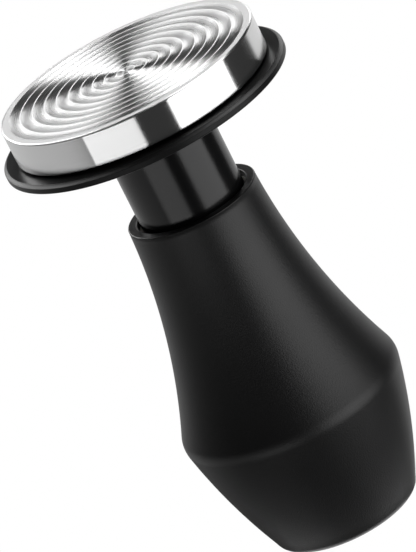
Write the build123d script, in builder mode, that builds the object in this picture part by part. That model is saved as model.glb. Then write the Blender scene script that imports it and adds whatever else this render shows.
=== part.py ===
"""Spring-loaded, self-levelling espresso tamper.

It stands upright on its ripple-faced steel base. The Z axis is the tamper's
axis and Z = 0 is the face that presses the coffee. Three groups of pieces
share that axis:

* base unit  - ripple base, shaft and piston, the ground for both springs
* leveller   - stepped plate and hollow column, slides up the shaft when the
               plate rests on a filter basket's rim
* handle     - turned shell and end cap, slides down over the column against
               the calibrated spring
"""
import os

from build123d import *

os.makedirs("parts", exist_ok=True)

# ---------------------------------------------------------------- dimensions
# All sizes are in millimetres. Heights are measured up from the ripple face.

# ripple base
base_radius = 29.25           # fits a 58 mm filter basket
base_height = 7.8
base_edge_radius = 0.4        # eased edge round the ripple face
crest_pitch = 2.83            # from one ring to the next
first_crest = 2.07
groove_count = 9
groove_depth = 0.15
crest_land = 0.3              # narrow flat left between two grooves
stud_radius = 5.0             # M10 end of the shaft
stud_depth = 4.6
stud_end_gap = 0.4            # left under the stud in its hole
base_back_chamfer = 0.25

# shaft and its pieces
washer_height = 0.4
washer_margin = 0.2
collar_radius = 8.6
collar_top = 12.45
collar_flats = 14.0
shaft_radius = 6.0
shaft_shoulder = 69.0
end_stud_radius = 4.0         # M8 end that carries the piston
shaft_top = 78.0
clip_groove_radius = 5.4
clip_height = 0.9
clip_reach = 2.0             # beyond the shaft
clip_opening = 5.4
shaft_end_chamfer = 0.6

# levelling plate and column
plate_bottom = 8.3
plate_top = 10.2
plate_radius = 32.7
plate_face_radius = 31.9      # outer edge of the face that meets the basket's rim
plate_step = 0.6              # height of the bevel up to the rim
plate_bevel_radius = 32.6
plate_edge_chamfer = 0.3
column_radius = 12.0
column_bore = 9.6
column_top = 44.0
column_lip_radius = 8.9
column_lip_top = 12.5
column_end_chamfer = 0.5
flange_radius = 17.5
flange_height = 2.0
screw_circle = 14.5
screw_count = 3
screw_radius = 1.25
screw_head_radius = 2.3
screw_head_gap = 0.1
screw_side_gap = 0.05
screw_end_gap = 0.5
screw_hole_floor = 0.3

# spring that pushes the leveller down
leveller_bush_height = 5.0
leveller_wire = 1.0
leveller_coil_radius = 7.9    # to the middle of the wire
leveller_turns = 7.5
spring_collar_bottom = 40.0
spring_collar_top = 43.0
ring_chamfer = 0.4            # on the collar and the piston

# handle shell
mouth_height = 32.6
mouth_radius = 14.9
mouth_chamfer = 0.3
mouth_bore = 12.8
mouth_bore_chamfer = 0.3
column_space_radius = 12.5
guide_bottom = 34.2
guide_top = 43.0
web_bottom = 64.0
web_top = 67.0
web_hole = 8.0
chamber_step = 0.5           # the cap's thread starts this far under the spring seat
chamber_radius = 11.5
ridge = (25.62, 82.65)        # widest line of the handle, radius and height
ridge_rounding = 4.0
flare_middle = (18.45, 60.0)
crown_middle = (22.17, 97.0)
crown_end = (17.2, 110.8)
crown_corner_radius = 16.4
handle_top = 113.0
crown_rounding = 2.0

# calibrated spring, its seats and the end cap
piston_height = 2.5
piston_clearance = 0.08
stop_washer_height = 0.9
stop_washer_radius = 10.5
stop_washer_gap = 0.05
nut_height = 5.5
nut_flats = 13.0
main_wire = 2.6
main_coil_radius = 9.7
main_turns = 7.0
seat_bottom = 103.0
seat_height = 1.5
seat_margin = 0.4
seat_spigot = 2.0
cap_thread_radius = 12.6
cap_disc_radius = 13.9
cap_recess_radius = 14.0
cap_shoulder = 111.0
cap_edge_chamfer = 0.4
spanner_circle = 9.0
spanner_holes = 2
spanner_hole_radius = 1.0
spanner_hole_depth = 1.5
seal_drop = 1.5              # from the cap's shoulder to the seal
seal_section = 0.6

running_clearance = 0.06      # radial, every sliding fit


def ring(inner, outer, bottom, top):
    """Plain ring about Z: inner and outer radius, lower and upper face."""
    with BuildPart() as body:
        with BuildSketch(Plane.XY.offset(bottom)):
            Circle(outer)
            if inner > 0:
                Circle(inner, mode=Mode.SUBTRACT)
        extrude(amount=top - bottom)
    return body.part


def seal_ring(inner, section, height):
    """O-ring about Z with its round section's centre at the given height."""
    with BuildPart() as body:
        with BuildSketch(Plane.XZ):
            with Locations((inner + section, height)):
                Circle(section)
        revolve(axis=Axis.Z)
    return body.part


def compression_spring(coil_radius, wire, turns, bottom, top):
    """Round-wire spring standing between two seats at bottom and top."""
    height = top - bottom - wire
    with BuildPart() as body:
        with BuildLine() as path:
            Helix(height / turns, height, coil_radius, center=(0, 0, bottom + wire / 2))
        with BuildSketch(Plane(origin=path.line @ 0, z_dir=path.line % 0)):
            Circle(wire / 2)
        sweep(path=path.line, is_frenet=True)
    return body.part


# ----------------------------------------------------------------- base unit
# Steel disc. Its face has a central dimple and round-bottomed ring grooves
# between narrow crest lands, all level with the flat outer land.
crests = [first_crest + crest_pitch * i for i in range(groove_count + 1)]
half_land = crest_land / 2

with BuildPart() as ripple_base:
    with BuildSketch(Plane.XZ):
        with BuildLine():
            Spline(
                (0, groove_depth / 2),
                (crests[0] - half_land, 0),
                tangents=((1, 0), (1, -0.25)),
            )
            for inner, outer in zip(crests, crests[1:]):
                Line((inner - half_land, 0), (inner + half_land, 0))
                ThreePointArc(
                    (inner + half_land, 0),
                    ((inner + outer) / 2, groove_depth),
                    (outer - half_land, 0),
                )
            Polyline(
                (crests[-1] - half_land, 0),
                (base_radius, 0),
                (base_radius, base_height),
                (0, base_height),
                (0, groove_depth / 2),
            )
        make_face()
    revolve(axis=Axis.Z)
    rim = ripple_base.edges().filter_by(GeomType.CIRCLE)
    rim = rim.filter_by(lambda edge: abs(edge.radius - base_radius) < 0.01)
    fillet(rim.sort_by(Axis.Z)[0], base_edge_radius)
    chamfer(rim.sort_by(Axis.Z)[-1], base_back_chamfer)
    with Locations((0, 0, base_height)):
        Hole(stud_radius, depth=stud_depth)

with BuildPart() as base_washer:
    add(ring(
        stud_radius + washer_margin, collar_radius - washer_margin,
        base_height, base_height + washer_height,
    ))

# Stepped shaft: threaded foot, spanner collar, long guide, threaded head.
with BuildPart() as centre_shaft:
    with BuildSketch(Plane.XZ):
        with BuildLine():
            Polyline(
                (0, base_height - stud_depth + stud_end_gap),
                (stud_radius, base_height - stud_depth + stud_end_gap),
                (stud_radius, base_height + washer_height),
                (collar_radius, base_height + washer_height),
                (collar_radius, collar_top),
                (shaft_radius, collar_top),
                (shaft_radius, spring_collar_top),
                (clip_groove_radius, spring_collar_top),
                (clip_groove_radius, spring_collar_top + clip_height),
                (shaft_radius, spring_collar_top + clip_height),
                (shaft_radius, shaft_shoulder),
                (end_stud_radius, shaft_shoulder),
                (end_stud_radius, shaft_top - shaft_end_chamfer),
                (end_stud_radius - shaft_end_chamfer, shaft_top),
                (0, shaft_top),
                close=True,
            )
        make_face()
    revolve(axis=Axis.Z)
    with BuildSketch(Plane.XY.offset(base_height + washer_height)):
        with Locations((0, collar_flats), (0, -collar_flats)):
            Rectangle(3 * collar_radius, collar_flats)
    extrude(amount=collar_top - base_height - washer_height, mode=Mode.SUBTRACT)

# Fixed collar that carries the leveller's spring and guides the column.
with BuildPart() as spring_collar:
    add(ring(shaft_radius, column_bore - running_clearance, spring_collar_bottom, spring_collar_top))
    outer_edges = spring_collar.edges().filter_by(GeomType.CIRCLE).sort_by(SortBy.RADIUS)[-2:]
    chamfer(outer_edges, ring_chamfer)

with BuildPart() as collar_clip:
    add(ring(
        clip_groove_radius, shaft_radius + clip_reach,
        spring_collar_top, spring_collar_top + clip_height,
    ))
    with BuildSketch(Plane.XY.offset(spring_collar_top)):
        with Locations((shaft_radius, 0)):
            Rectangle(2 * shaft_radius, clip_opening)
    extrude(amount=clip_height, mode=Mode.SUBTRACT)

leveller_bush_top = column_lip_top + leveller_bush_height
with BuildPart() as leveller_spring:
    add(compression_spring(
        leveller_coil_radius, leveller_wire, leveller_turns,
        leveller_bush_top, spring_collar_bottom,
    ))

with BuildPart() as stop_washer:
    add(ring(shaft_radius, stop_washer_radius, shaft_shoulder - stop_washer_height, shaft_shoulder))

# Piston: it guides the chamber and seats the calibrated spring.
piston_top = shaft_shoulder + piston_height
with BuildPart() as piston:
    add(ring(end_stud_radius, chamber_radius - piston_clearance, shaft_shoulder, piston_top))
    outer_edges = piston.edges().filter_by(GeomType.CIRCLE).sort_by(SortBy.RADIUS)[-2:]
    chamfer(outer_edges, ring_chamfer)

with BuildPart() as piston_nut:
    with BuildSketch(Plane.XY.offset(piston_top)):
        RegularPolygon(nut_flats / 2, 6, major_radius=False)
        Circle(end_stud_radius, mode=Mode.SUBTRACT)
    extrude(amount=nut_height)

with BuildPart() as main_spring:
    add(compression_spring(main_coil_radius, main_wire, main_turns, piston_top, seat_bottom))

# ------------------------------------------------------------------ leveller
# Stepped plate: its lower face meets the basket's rim outside the base.
with BuildPart() as levelling_plate:
    with BuildSketch(Plane.XZ):
        with BuildLine():
            Polyline(
                (column_bore, plate_bottom),
                (plate_face_radius, plate_bottom),
                (plate_bevel_radius, plate_bottom + plate_step),
                (plate_radius, plate_bottom + plate_step),
                (plate_radius, plate_top - plate_edge_chamfer),
                (plate_radius - plate_edge_chamfer, plate_top),
                (column_bore, plate_top),
                close=True,
            )
        make_face()
    revolve(axis=Axis.Z)
    with Locations(Plane.XY.offset(plate_bottom).rotated((180, 0, 0))):
        with PolarLocations(screw_circle, screw_count):
            CounterSinkHole(screw_radius, screw_head_radius, depth=plate_top - plate_bottom)

# Hollow column with its foot flange. A lip in the bore carries the bush.
with BuildPart() as column:
    with BuildSketch(Plane.XZ):
        with BuildLine():
            Polyline(
                (column_lip_radius, plate_top),
                (flange_radius, plate_top),
                (flange_radius, plate_top + flange_height),
                (column_radius, plate_top + flange_height),
                (column_radius, column_top - column_end_chamfer),
                (column_radius - column_end_chamfer, column_top),
                (column_bore, column_top),
                (column_bore, column_lip_top),
                (column_lip_radius, column_lip_top),
                close=True,
            )
        make_face()
    revolve(axis=Axis.Z)
    with Locations(Plane.XY.offset(plate_top).rotated((180, 0, 0))):
        with PolarLocations(screw_circle, screw_count):
            Hole(screw_radius, depth=flange_height - screw_hole_floor)

screw_bottom = plate_bottom + screw_head_gap
screw_top = plate_top + flange_height - screw_end_gap
screw_shank = screw_radius - screw_side_gap
with BuildPart() as plate_screws:
    with BuildSketch(Plane.XZ):
        with BuildLine():
            Polyline(
                (0, screw_bottom),
                (screw_head_radius - screw_head_gap, screw_bottom),
                (screw_shank, plate_bottom + screw_head_radius - screw_shank),
                (screw_shank, screw_top),
                (0, screw_top),
                close=True,
            )
        make_face()
    screw = revolve(axis=Axis.Z, mode=Mode.PRIVATE)
    with PolarLocations(screw_circle, screw_count):
        add(screw)

with BuildPart() as leveller_bush:
    add(ring(shaft_radius + running_clearance, column_bore, column_lip_top, leveller_bush_top))

# -------------------------------------------------------------------- handle
# Turned shell: bell flare up to a soft ridge, then a domed crown.
with BuildPart() as handle_shell:
    with BuildSketch(Plane.XZ) as shell_outline:
        with BuildLine():
            Polyline(
                crown_end,
                (crown_corner_radius, handle_top),
                (cap_recess_radius, handle_top),
                (cap_recess_radius, cap_shoulder),
                (cap_thread_radius, cap_shoulder),
                (cap_thread_radius, seat_bottom - chamber_step),
                (chamber_radius, seat_bottom - chamber_step),
                (chamber_radius, web_top),
                (web_hole, web_top),
                (web_hole, web_bottom),
                (column_space_radius, web_bottom),
                (column_space_radius, guide_top),
                (mouth_bore, guide_top),
                (mouth_bore, mouth_height + mouth_bore_chamfer),
                (mouth_bore + mouth_bore_chamfer, mouth_height),
                (mouth_radius - mouth_chamfer, mouth_height),
                (mouth_radius, mouth_height + mouth_chamfer),
            )
            ThreePointArc((mouth_radius, mouth_height + mouth_chamfer), flare_middle, ridge)
            ThreePointArc(ridge, crown_middle, crown_end)
        make_face()
        fillet(shell_outline.vertices().sort_by(Axis.X)[-1], ridge_rounding)
        top_corners = shell_outline.vertices().filter_by(
            lambda v: v.X > cap_recess_radius + 0.5 and v.Y > cap_shoulder
        )
        fillet(top_corners, crown_rounding)
    revolve(axis=Axis.Z)

with BuildPart() as column_guide:
    add(ring(column_radius + running_clearance, mouth_bore, guide_bottom, guide_top))

# Flanged bush in the web: guides the shaft and takes the stop washer.
with BuildPart() as shaft_bush:
    add(ring(shaft_radius + running_clearance, web_hole, web_bottom, web_top))
    add(ring(
        shaft_radius + running_clearance, stop_washer_radius,
        web_top, shaft_shoulder - stop_washer_height - stop_washer_gap,
    ))

with BuildPart() as spring_seat:
    add(ring(0, cap_thread_radius - seat_margin, seat_bottom, seat_bottom + seat_height))
    add(ring(0, main_coil_radius - main_wire / 2 - seat_margin, seat_bottom - seat_spigot, seat_bottom))

# Screwed end cap with a seal under its disc and two pin-spanner holes.
cap_bottom = seat_bottom + seat_height
seal_height = cap_shoulder - seal_drop
with BuildPart() as end_cap:
    with BuildSketch(Plane.XZ):
        with BuildLine():
            Polyline(
                (0, cap_bottom),
                (cap_thread_radius, cap_bottom),
                (cap_thread_radius, seal_height - seal_section),
                (cap_thread_radius - 2 * seal_section, seal_height - seal_section),
                (cap_thread_radius - 2 * seal_section, seal_height + seal_section),
                (cap_thread_radius, seal_height + seal_section),
                (cap_thread_radius, cap_shoulder),
                (cap_disc_radius, cap_shoulder),
                (cap_disc_radius, handle_top - cap_edge_chamfer),
                (cap_disc_radius - cap_edge_chamfer, handle_top),
                (0, handle_top),
                close=True,
            )
        make_face()
    revolve(axis=Axis.Z)
    with Locations((0, 0, handle_top)):
        with PolarLocations(spanner_circle, spanner_holes):
            Hole(spanner_hole_radius, depth=spanner_hole_depth)

with BuildPart() as cap_seal:
    add(seal_ring(cap_thread_radius - 2 * seal_section, seal_section, seal_height))

# -------------------------------------------------------------------- export
pieces = {
    "ripple_base": ripple_base,
    "base_washer": base_washer,
    "centre_shaft": centre_shaft,
    "spring_collar": spring_collar,
    "collar_clip": collar_clip,
    "leveller_spring": leveller_spring,
    "stop_washer": stop_washer,
    "piston": piston,
    "piston_nut": piston_nut,
    "main_spring": main_spring,
    "levelling_plate": levelling_plate,
    "column": column,
    "plate_screws": plate_screws,
    "leveller_bush": leveller_bush,
    "handle_shell": handle_shell,
    "column_guide": column_guide,
    "shaft_bush": shaft_bush,
    "spring_seat": spring_seat,
    "end_cap": end_cap,
    "cap_seal": cap_seal,
}
for name, piece in pieces.items():
    piece.part.label = name
    export_step(piece.part, f"parts/{name}.step")
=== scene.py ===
"""Looks of a spring-loaded, self-levelling espresso tamper.

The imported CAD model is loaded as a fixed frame, and the pieces are turned or
coiled as fine meshes round the same axis. Outlines are in millimetres, as
(radius, height) with the height measured up from the ripple face; the meshes
are in metres. Heights and radii that the frame knows are read from it.
"""
import math

import bpy
from mathutils import Euler, Matrix, Vector


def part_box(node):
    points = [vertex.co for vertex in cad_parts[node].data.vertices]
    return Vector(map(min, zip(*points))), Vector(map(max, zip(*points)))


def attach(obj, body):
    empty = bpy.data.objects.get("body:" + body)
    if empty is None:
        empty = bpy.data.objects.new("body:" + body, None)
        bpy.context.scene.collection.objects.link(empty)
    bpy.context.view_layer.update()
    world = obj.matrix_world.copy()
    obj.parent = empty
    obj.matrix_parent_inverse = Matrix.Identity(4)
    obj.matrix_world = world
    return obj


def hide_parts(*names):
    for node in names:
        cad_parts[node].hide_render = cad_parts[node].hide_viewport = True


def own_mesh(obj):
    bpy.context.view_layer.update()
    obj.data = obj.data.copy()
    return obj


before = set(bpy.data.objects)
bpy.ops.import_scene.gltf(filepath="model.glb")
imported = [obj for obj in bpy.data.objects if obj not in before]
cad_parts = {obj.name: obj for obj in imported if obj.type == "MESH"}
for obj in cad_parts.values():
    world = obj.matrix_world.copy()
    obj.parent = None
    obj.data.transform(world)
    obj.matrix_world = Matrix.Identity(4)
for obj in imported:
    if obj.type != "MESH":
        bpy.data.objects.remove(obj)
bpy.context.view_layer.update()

MM = 0.001
TURNS = 180  # facets round a turned piece


# ------------------------------------------------------------------ the frame
def reach(node):
    """(outer radius, lower height, upper height) of a CAD node, in millimetres."""
    low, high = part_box(node)
    return max(high.x, high.y) / MM, low.z / MM, high.z / MM


# ------------------------------------------------------------------- outlines
def circle_through(a, b, c):
    """Centre of the circle through three points."""
    (ax, ay), (bx, by), (cx, cy) = a, b, c
    d = 2 * (ax * (by - cy) + bx * (cy - ay) + cx * (ay - by))
    aa, bb, cc = ax * ax + ay * ay, bx * bx + by * by, cx * cx + cy * cy
    return (
        (aa * (by - cy) + bb * (cy - ay) + cc * (ay - by)) / d,
        (aa * (cx - bx) + bb * (ax - cx) + cc * (bx - ax)) / d,
    )


def arc(a, b, c, steps):
    """Points on the arc from a through b to c, both ends included."""
    ox, oy = circle_through(a, b, c)
    radius = math.hypot(a[0] - ox, a[1] - oy)
    t0, t1, t2 = (math.atan2(p[1] - oy, p[0] - ox) for p in (a, b, c))
    turn = (t2 - t0) % (2 * math.pi)
    if (t1 - t0) % (2 * math.pi) > turn:
        turn -= 2 * math.pi
    return [
        (ox + radius * math.cos(t0 + turn * i / steps), oy + radius * math.sin(t0 + turn * i / steps))
        for i in range(steps + 1)
    ]


def eased(corners, steps=5):
    """A closed outline from (radius, height, easing) corners, each rounded by its easing."""
    points = []
    count = len(corners)
    for i, (x, y, *rest) in enumerate(corners):
        ease = rest[0] if rest else 0
        if not ease:
            points.append((x, y))
            continue
        here = Vector((x, y))
        before = (Vector(corners[i - 1][:2]) - here).normalized()
        after = (Vector(corners[(i + 1) % count][:2]) - here).normalized()
        half = before.angle(after) / 2
        cut = ease / math.tan(half)
        centre = here + (before + after).normalized() * (ease / math.sin(half))
        start, end = here + before * cut, here + after * cut
        middle = centre + (here - centre).normalized() * ease
        hold = min(0.12, ease * 0.5)  # a row of points close by keeps the flat face flat
        points.append(tuple(start + before * hold))
        points.extend(arc(tuple(start), tuple(middle), tuple(end), steps))
        points.append(tuple(end + after * hold))
    return points


# --------------------------------------------------------------------- meshes
def new_piece(name, verts, faces):
    mesh = bpy.data.meshes.new(name)
    mesh.from_pydata([tuple(c * MM for c in v) for v in verts], [], faces)
    mesh.validate()
    for polygon in mesh.polygons:
        polygon.use_smooth = True
    piece = bpy.data.objects.new(name, mesh)
    bpy.context.scene.collection.objects.link(piece)
    return piece


def dress(piece, body, slot, material, *nodes):
    piece.data.materials.append(material)
    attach(piece, body)
    if nodes:
        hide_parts(*nodes)


def turned(name, outline, body, slot, material, node, turns=TURNS, form=None):
    """Turns a closed outline about Z and lets the piece stand for its CAD node.

    form(radius, height, angle) gives the radius where the piece isn't round.
    """
    verts, rings = [], []
    for radius, height in outline:
        if radius < 1e-6:
            rings.append([len(verts)] * turns)
            verts.append((0, 0, height))
            continue
        rings.append(list(range(len(verts), len(verts) + turns)))
        for i in range(turns):
            angle = 2 * math.pi * i / turns
            out = form(radius, height, angle) if form else radius
            verts.append((out * math.cos(angle), out * math.sin(angle), height))
    faces = []
    for k, ring in enumerate(rings):
        following = rings[(k + 1) % len(rings)]
        if ring[0] == ring[1] and following[0] == following[1]:
            continue  # both on the axis
        for i in range(turns):
            j = (i + 1) % turns
            corners = [ring[i], ring[j], following[j], following[i]]
            faces.append(list(dict.fromkeys(corners)))
    piece = new_piece(name, verts, faces)
    dress(piece, body, slot, material, node)
    return piece


def coil(name, node, wire, turns, slot, material):
    """A spring with closed, ground ends that fills its CAD node's height."""
    outer, low, high = reach(node)
    mean, around, sides = outer - wire / 2, 40, 14
    first, last = low + wire * 0.3, high - wire * 0.3
    rise = (last - first - 2 * wire) / (turns - 2)  # one closed turn at each end
    verts, faces = [], []
    for i in range(int(turns * around) + 1):
        t = i / around
        closed = min(t, 1) + max(t - turns + 1, 0)
        height = first + wire * closed + rise * min(max(t - 1, 0), turns - 2)
        angle = 2 * math.pi * t
        for k in range(sides):
            side = 2 * math.pi * k / sides
            radius = mean + wire / 2 * math.cos(side)
            z = min(max(height + wire / 2 * math.sin(side), low), high)
            verts.append((radius * math.cos(angle), radius * math.sin(angle), z))
    for i in range(int(turns * around)):
        for k in range(sides):
            j = (k + 1) % sides
            faces.append([i * sides + k, (i + 1) * sides + k, (i + 1) * sides + j, i * sides + j])
    faces += [list(range(sides)), [len(verts) - 1 - k for k in range(sides)]]
    piece = new_piece(name, verts, faces)
    dress(piece, "base_unit", slot, material, node)
    return piece, low, high


# ------------------------------------------------------------------ materials
class Shader:
    """A node material with one Principled shader, and short calls to add nodes."""

    def __init__(self, name, **sockets):
        self.material = bpy.data.materials.new(name)
        self.material.use_nodes = True
        self.tree = self.material.node_tree
        self.principled = self.tree.nodes["Principled BSDF"]
        for key, value in sockets.items():
            socket = self.principled.inputs[key.replace("_", " ")]
            socket.default_value = (*value, 1.0) if isinstance(value, tuple) else value

    def add(self, kind, links=None, **settings):
        node = self.tree.nodes.new("ShaderNode" + kind)
        for key, value in settings.items():
            setattr(node, key, value)
        for socket, source in (links or {}).items():
            if isinstance(source, bpy.types.NodeSocket):
                self.tree.links.new(source, node.inputs[socket])
            else:
                node.inputs[socket].default_value = source
        return node

    def math(self, operation, a, b=0.0):
        return self.add("Math", {0: a, 1: b}, operation=operation).outputs[0]

    def into(self, socket, source):
        self.tree.links.new(source, self.principled.inputs[socket])

    def object_place(self):
        return self.add("TexCoord").outputs["Object"]

    def lathe_place(self):
        """(distance from Z, 0, height): the same all the way round a turned piece."""
        x, y, z = self.add("SeparateXYZ", {0: self.object_place()}).outputs
        square = self.math("ADD", self.math("MULTIPLY", x, x), self.math("MULTIPLY", y, y))
        return self.add("CombineXYZ", {0: self.math("SQRT", square), 2: z}).outputs[0]

    def noise(self, place, scale, detail=2.0, roughness=0.5):
        return self.add(
            "TexNoise", {"Vector": place, "Scale": scale, "Detail": detail, "Roughness": roughness}
        ).outputs["Fac"]

    def ramp(self, source, from_low, from_high, low, high):
        return self.add(
            "MapRange",
            {"Value": source, "From Min": from_low, "From Max": from_high, "To Min": low, "To Max": high},
        ).outputs["Result"]

    def spread(self, source, low, high):
        """A noise of about 0.3 to 0.7 stretched to low..high."""
        return self.ramp(source, 0.3, 0.7, low, high)

    def bump(self, height, distance, strength=1.0):
        node = self.add("Bump", {"Height": height, "Distance": distance, "Strength": strength})
        self.into("Normal", node.outputs["Normal"])

    def lathe_grain(self):
        """Turns the shader's stretched highlights across the lathe lines."""
        tangent = self.add("Tangent", direction_type="RADIAL", axis="Z")
        self.into("Tangent", tangent.outputs["Tangent"])


def turned_metal(name, colour, roughness, grooves, spread=0.04, metallic=1.0, specular=0.5):
    """Lathe-turned surface: fine rings that run round the axis."""
    s = Shader(name, Base_Color=colour, Metallic=metallic, Specular_IOR_Level=specular)
    rings = s.noise(s.lathe_place(), 5200.0, 3.0)
    s.into("Roughness", s.spread(rings, roughness - spread, roughness + spread))
    s.bump(rings, grooves * MM)
    return s.material


def ripple_steel(name, groove, side):
    """The base: grooves turned with a round tool, and a finer side."""
    s = Shader(
        name, Base_Color=(0.75, 0.75, 0.75), Metallic=1.0, Anisotropic=1.0, Anisotropic_Rotation=0.25,
    )
    s.lathe_grain()
    place = s.lathe_place()
    height = s.add("SeparateXYZ", {0: place}).outputs[2]
    rings = s.noise(place, 2600.0, 3.0)
    level = s.ramp(height, 0.2 * MM, 0.5 * MM, groove, side)
    s.into("Roughness", s.math("ADD", level, s.spread(rings, -0.015, 0.015)))
    s.bump(rings, 0.0003 * MM)
    return s.material


def blasted(name, colour, roughness, grain=0.16, depth=0.006, specular=0.5, metallic=0.0):
    """Fine bead-blasted and anodised surface: dull, with an even grain."""
    s = Shader(name, Base_Color=colour, Specular_IOR_Level=specular, Metallic=metallic)
    place = s.object_place()
    fine = s.noise(place, 1.0 / (grain * MM), 2.0)
    broad = s.noise(place, 60.0, 2.0)
    s.into("Roughness", s.spread(broad, roughness - 0.02, roughness + 0.02))
    s.bump(fine, depth * MM)
    return s.material


base_steel = ripple_steel("turned_stainless", 0.28, 0.17)
land_steel = turned_metal("faced_stainless", (0.66, 0.66, 0.66), 0.5, 0.0006)
crest_painted_highlight_steel = turned_metal("turned_crests_painted_highlight", (0.95, 0.95, 0.95), 0.5, 0.0003)  # painted highlight: the same faced steel as the land with its colour raised far above the land's, for the light the crest edges catch; the dull finish is real
shaft_steel = turned_metal("ground_steel", (0.58, 0.58, 0.59), 0.22, 0.0004)
washer_steel = turned_metal("washer_steel", (0.50, 0.50, 0.51), 0.35, 0.0006)
collar_brass = turned_metal("turned_brass", (0.72, 0.52, 0.22), 0.28, 0.0006)
bush_bronze = turned_metal("sintered_bronze", (0.42, 0.27, 0.13), 0.5, 0.001)
anodised = (0.004, 0.004, 0.0042)
blasted_black = dict(colour=anodised, roughness=0.42, grain=0.32, depth=0.04, specular=0.38)
column_black = blasted("anodised_column", anodised, 0.2, grain=0.35, depth=0.012, specular=0.32)
plate_black = turned_metal(
    "anodised_plate", anodised, 0.38, 0.0001, spread=0.02, metallic=0.0, specular=0.18
)
handle_black = blasted("blasted_handle", **blasted_black)
cap_black = blasted("blasted_cap", **blasted_black)
spring_steel = blasted("spring_wire", (0.35, 0.35, 0.36), 0.3, metallic=1.0)
fastener_steel = blasted("zinc_fastener", (0.45, 0.45, 0.47), 0.3, metallic=1.0)
bush_plastic = blasted("acetal", (0.72, 0.70, 0.64), 0.45)
seal_rubber = blasted("nitrile", (0.015, 0.015, 0.015), 0.6)

# ------------------------------------------------------------ the ripple base
base_radius, _, base_top = reach("ripple_base")
crest_pitch = 2.83
first_crest = 2.07
groove_count = 9
groove_depth = 0.15
crest_land = 0.3                             # narrow flat left between two grooves
base_ease = 0.4
back_ease = 0.25
stud_radius = 5.0
stud_depth = 4.6

crests = [first_crest + crest_pitch * i for i in range(groove_count + 1)]
half_land = crest_land / 2
dimple_middle = (first_crest / 2, groove_depth / 2.6)
ripple = arc((0, groove_depth / 2), dimple_middle, (first_crest - half_land, 0), 6)
for inner, outer in zip(crests, crests[1:]):
    middle = ((inner + outer) / 2, groove_depth)
    ripple += [(inner, 0)] + arc((inner + half_land, 0), middle, (outer - half_land, 0), 12)
rim = eased([
    (crests[-1] + crest_land, 0),
    (base_radius, 0, base_ease),
    (base_radius, base_top, back_ease),
    (stud_radius, base_top),
    (stud_radius, base_top - stud_depth),
    (0, base_top - stud_depth),
])
base = turned("ripple_base_turned", ripple + rim, "base_unit", "base_steel", base_steel, "ripple_base")
base.data.materials.append(land_steel)
base.data.materials.append(crest_painted_highlight_steel)
land_index, crest_highlight_index = 1, 2               # after the base's own steel
outer_land = crests[-1] * MM
level_with_face = 0.001 * MM                 # higher than this is a groove or the side
# The flat crests between the grooves get the brighter copy of the steel, a painted highlight; the outer
# land gets the faced steel.
for face in base.data.polygons:
    if face.center.z < level_with_face:
        face.material_index = land_index if face.center.xy.length > outer_land else crest_highlight_index

# ------------------------------------------------------------------- leveller
plate_radius, plate_bottom, plate_top = reach("levelling_plate")
plate_face = 31.9
plate_step = 0.6
column_bore = 9.6
turned("levelling_plate_turned", eased([
    (column_bore, plate_bottom),
    (plate_face, plate_bottom, 0.08),
    (plate_radius - 0.1, plate_bottom + plate_step),
    (plate_radius, plate_bottom + plate_step, 0.05),
    (plate_radius, plate_top, 0.3),
    (column_bore, plate_top),
]), "leveller", "plate_black", plate_black, "levelling_plate")

flange_radius, column_foot, column_top = reach("column")
column_radius = 12.0
flange_top = column_foot + 2.0
lip_radius = 8.9
lip_top = 12.5
turned("column_turned", eased([
    (lip_radius, column_foot),
    (flange_radius, column_foot),
    (flange_radius, flange_top, 0.3),
    (column_radius, flange_top, 0.3),
    (column_radius, column_top, 0.5),
    (column_bore, column_top, 0.3),
    (column_bore, lip_top),
    (lip_radius, lip_top),
]), "leveller", "column_black", column_black, "column")

# --------------------------------------------------------------------- handle
_, mouth, handle_top = reach("handle_shell")
mouth_radius = 14.9
mouth_ease = 0.3
ridge = (25.62, 82.65)
flare_middle = (18.45, 60.0)
crown_middle = (22.17, 97.0)
crown_end = (17.2, 110.8)
ridge_rounding = 5.5
recess_radius, recess_floor = 14.0, 111.0    # for the end cap
thread_radius, thread_foot = 12.6, 102.5
chamber_radius = 11.5                        # round the main spring
web_hole, web_low, web_high = 8.0, 64.0, 67.0
guide_bore, guide_top = 12.8, 43.0
column_space = 12.5
flare = arc((mouth_radius, mouth + mouth_ease), flare_middle, ridge, 40)
crown = arc(ridge, crown_middle, crown_end, 26)
ridge_ease = eased([flare[-3], (*ridge, ridge_rounding), crown[2]], 12)[1:-1]
turned("handle_turned", eased([
    crown_end,
    (16.4, handle_top, 2.0),
    (recess_radius, handle_top, 0.15),
    (recess_radius, recess_floor),
    (thread_radius, recess_floor),
    (thread_radius, thread_foot),
    (chamber_radius, thread_foot),
    (chamber_radius, web_high),
    (web_hole, web_high),
    (web_hole, web_low),
    (column_space, web_low),
    (column_space, guide_top),
    (guide_bore, guide_top),
    (guide_bore, mouth, 0.3),
    (mouth_radius, mouth, mouth_ease),
])[:-1] + flare[:-3] + ridge_ease + crown[3:-1], "handle", "handle_black", handle_black, "handle_shell")

# ------------------------------------------------------------- shaft and nut
_, shaft_foot, shaft_top = reach("centre_shaft")
_, nut_low, nut_high = reach("piston_nut")
collar_low = reach("base_washer")[2]
bush_gap = 0.05
collar_high = reach("leveller_bush")[1] - bush_gap
clip_low, clip_high = reach("collar_clip")[1:]
shoulder = reach("piston")[1]
head_radius, thread_pitch, thread_depth = 4.0, 1.25, 0.5
shaft_radius, collar_radius, clip_groove = 6.0, 8.6, 5.4
half_flats = 7.0                             # half the width across the collar's flats
nut_half_flats, nut_corner, nut_chamfer = 6.5, 7.6, 0.6
head_chamfer = 0.6
thread_in_nut = 0.5                          # the drawn thread starts this far inside the nut
head_thread = (nut_high - thread_in_nut, shaft_top - head_chamfer)


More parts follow.
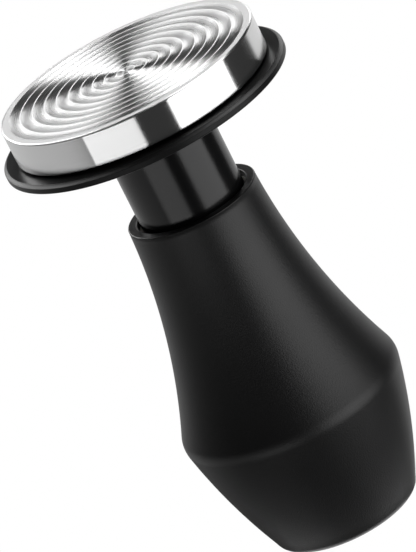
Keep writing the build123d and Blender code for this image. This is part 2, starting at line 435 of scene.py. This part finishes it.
def shaft_form(radius, height, angle):
    """Two spanner flats on the collar, and a thread on the end above the nut."""
    if collar_low <= height <= collar_high and radius > shaft_radius:
        return min(radius, half_flats / max(abs(math.sin(angle)), 0.01))
    if head_thread[0] < height < head_thread[1]:
        turn = (height / thread_pitch - angle / (2 * math.pi)) % 1
        return radius - thread_depth * abs(2 * turn - 1)
    return radius


def hexagon(radius, height, angle):
    """Six flats, which the chamfers' cones cut short at the corners."""
    flat = math.radians(60)
    return min(radius, nut_half_flats / math.cos(angle % flat - flat / 2))


thread_rows = 24
thread = [
    (head_radius, head_thread[0] + (head_thread[1] - head_thread[0]) * i / thread_rows)
    for i in range(thread_rows + 1)
]
turned("centre_shaft_turned", eased([
    (0, shaft_foot),
    (stud_radius, shaft_foot, 0.3),
    (stud_radius, collar_low),
    (collar_radius, collar_low, 0.2),
    (collar_radius, collar_high, 0.2),
    (shaft_radius, collar_high),
    (shaft_radius, clip_low),
    (clip_groove, clip_low),
    (clip_groove, clip_high),
    (shaft_radius, clip_high),
    (shaft_radius, shoulder, 0.2),
    (head_radius, shoulder),
]) + thread + [(head_radius - head_chamfer, shaft_top), (0, shaft_top)],
    "base_unit", "shaft_steel", shaft_steel, "centre_shaft", form=shaft_form)
turned("piston_nut_chamfered", [
    (head_radius, nut_low),
    (nut_half_flats - 0.1, nut_low),
    (nut_corner, nut_low + nut_chamfer),
    (nut_corner, nut_high - nut_chamfer),
    (nut_half_flats - 0.1, nut_high),
    (head_radius, nut_high),
], "base_unit", "fastener_steel", fastener_steel, "piston_nut", form=hexagon)

# -------------------------------------------------------------------- springs
spring, low, high = coil(
    "leveller_spring_coiled", "leveller_spring",
    wire=1.0, turns=7.5, slot="spring_steel", material=spring_steel,
)
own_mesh(spring)
spring, low, high = coil(
    "main_spring_coiled", "main_spring",
    wire=2.6, turns=7.0, slot="spring_steel", material=spring_steel,
)
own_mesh(spring)

# ------------------------------------------------- pieces kept as CAD has them
kept = {
    "base_washer": washer_steel, "spring_collar": collar_brass,
    "collar_clip": spring_steel, "stop_washer": bush_plastic,
    "piston": shaft_steel,
    "plate_screws": fastener_steel, "leveller_bush": bush_plastic, "column_guide": bush_plastic,
    "shaft_bush": bush_bronze, "spring_seat": washer_steel, "cap_seal": seal_rubber,
    "end_cap": cap_black,
}
for node, material in kept.items():
    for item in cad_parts[node].material_slots:
        item.material = material

# ---------------------------------------------------------------------- stage
white_floor = bpy.data.materials.new("white_floor")
white_floor.use_nodes = True
floor_nodes = white_floor.node_tree.nodes
floor_links = white_floor.node_tree.links
floor_shader = floor_nodes["Principled BSDF"]
floor_shader.inputs["Base Color"].default_value = (0.86, 0.86, 0.86, 1)
floor_shader.inputs["Roughness"].default_value = 0.9
from_below = floor_nodes.new("ShaderNodeBsdfTransparent")
one_sided = floor_nodes.new("ShaderNodeMixShader")
facing = floor_nodes.new("ShaderNodeNewGeometry")
floor_links.new(facing.outputs["Backfacing"], one_sided.inputs[0])
floor_links.new(floor_shader.outputs[0], one_sided.inputs[1])
floor_links.new(from_below.outputs[0], one_sided.inputs[2])
floor_links.new(one_sided.outputs[0], floor_nodes["Material Output"].inputs["Surface"])

bpy.ops.mesh.primitive_plane_add(size=6.0, location=(0, 0, -0.0002))
floor = bpy.context.object
floor.name = "floor"
floor.data.materials.append(white_floor)
floor.visible_diffuse = floor.visible_glossy = floor.visible_transmission = False
floor.visible_shadow = False

world = bpy.data.worlds.new("studio")
bpy.context.scene.world = world
world.use_nodes = True
sky = world.node_tree.nodes
room = sky["Background"]
room.inputs["Color"].default_value = (1, 1, 1, 1)
room.inputs["Strength"].default_value = 0.04
backdrop = sky.new("ShaderNodeBackground")
backdrop.inputs["Color"].default_value = (1, 1, 1, 1)
backdrop.inputs["Strength"].default_value = 1.0
rays = sky.new("ShaderNodeLightPath")
seen = sky.new("ShaderNodeMixShader")
world.node_tree.links.new(rays.outputs["Is Camera Ray"], seen.inputs[0])
world.node_tree.links.new(room.outputs[0], seen.inputs[1])
world.node_tree.links.new(backdrop.outputs[0], seen.inputs[2])
world.node_tree.links.new(seen.outputs[0], sky["World Output"].inputs["Surface"])

aim = Vector((0, 0, 0.02))
light_distance = 2.4


def softbox(name, azimuth, elevation, width, height, brightness):
    """A soft panel that faces the tamper.

    Its place and size are angles in degrees as seen from the tamper, with
    azimuth 0 at +X and 90 at +Y. The camera stands at azimuth 270, below the
    ripple face. Brightness 1 is the backdrop's white.
    """
    a, e = math.radians(azimuth), math.radians(elevation)
    outward = Vector((math.cos(e) * math.cos(a), math.cos(e) * math.sin(a), math.sin(e)))
    lamp = bpy.data.lights.new(name, "AREA")
    lamp.shape = "RECTANGLE"
    lamp.size = 2 * light_distance * math.tan(math.radians(width / 2))
    lamp.size_y = 2 * light_distance * math.tan(math.radians(height / 2))
    lamp.energy = math.pi * lamp.size * lamp.size_y * brightness
    panel = bpy.data.objects.new(name, lamp)
    right = Vector((-math.sin(a), math.cos(a), 0))
    up = outward.cross(right)
    panel.matrix_world = (
        Matrix.Translation(aim + outward * light_distance)
        @ Matrix((right, up, outward)).transposed().to_4x4()
    )
    panel.visible_camera = False
    bpy.context.scene.collection.objects.link(panel)
    return panel


# Round the steel's side, which shows the camera what stands at azimuth 2 n - 270 where it
# faces azimuth n: a panel on each side of the camera with a dark gap between them, a dim
# wall towards +X that meets the fill, and one panel behind.
softbox("key", 220, 5, 60, 55, 2.5)
softbox("fill", 305, 20, 45, 15, 1.8)
softbox("right_wall", 25, 20, 110, 25, 0.55)
softbox("back_panel", 120, 20, 50, 30, 0.75)
# Below and behind: what the ripple face looks towards, to each side of its mirror direction.
softbox("face_left", 130, -60, 35, 20, 9.0)
softbox("face_right", 55, -40, 25, 50, 5.0)
for side in (-1, 1):
    softbox("face_card", 90 + 20 * side, -15, 20, 20, 3.0)
# Overhead and a little behind, for the top and the floor.
softbox("overhead", 90, 70, 60, 40, 2.5)

# --------------------------------------------------------------------- camera
camera_data = bpy.data.cameras.new("camera")
camera_data.lens = 377
camera_data.clip_start, camera_data.clip_end = 0.05, 20
camera = bpy.data.objects.new("camera", camera_data)
# The camera looks up at the ripple face, and is turned so that the handle points down and right.
look_up, roll = math.radians(20.2), math.radians(153.2)
camera_distance = 1.237
framed_point = Vector((0.004, 0, 0.0496))
camera.location = framed_point - camera_distance * Vector((0, math.cos(look_up), math.sin(look_up)))
camera.rotation_euler = (
    Euler((math.pi / 2 + look_up, 0, 0)).to_matrix() @ Matrix.Rotation(roll, 3, "Z")
).to_euler()
bpy.context.scene.collection.objects.link(camera)
bpy.context.scene.camera = camera
bpy.context.scene.view_settings.view_transform = "Standard"
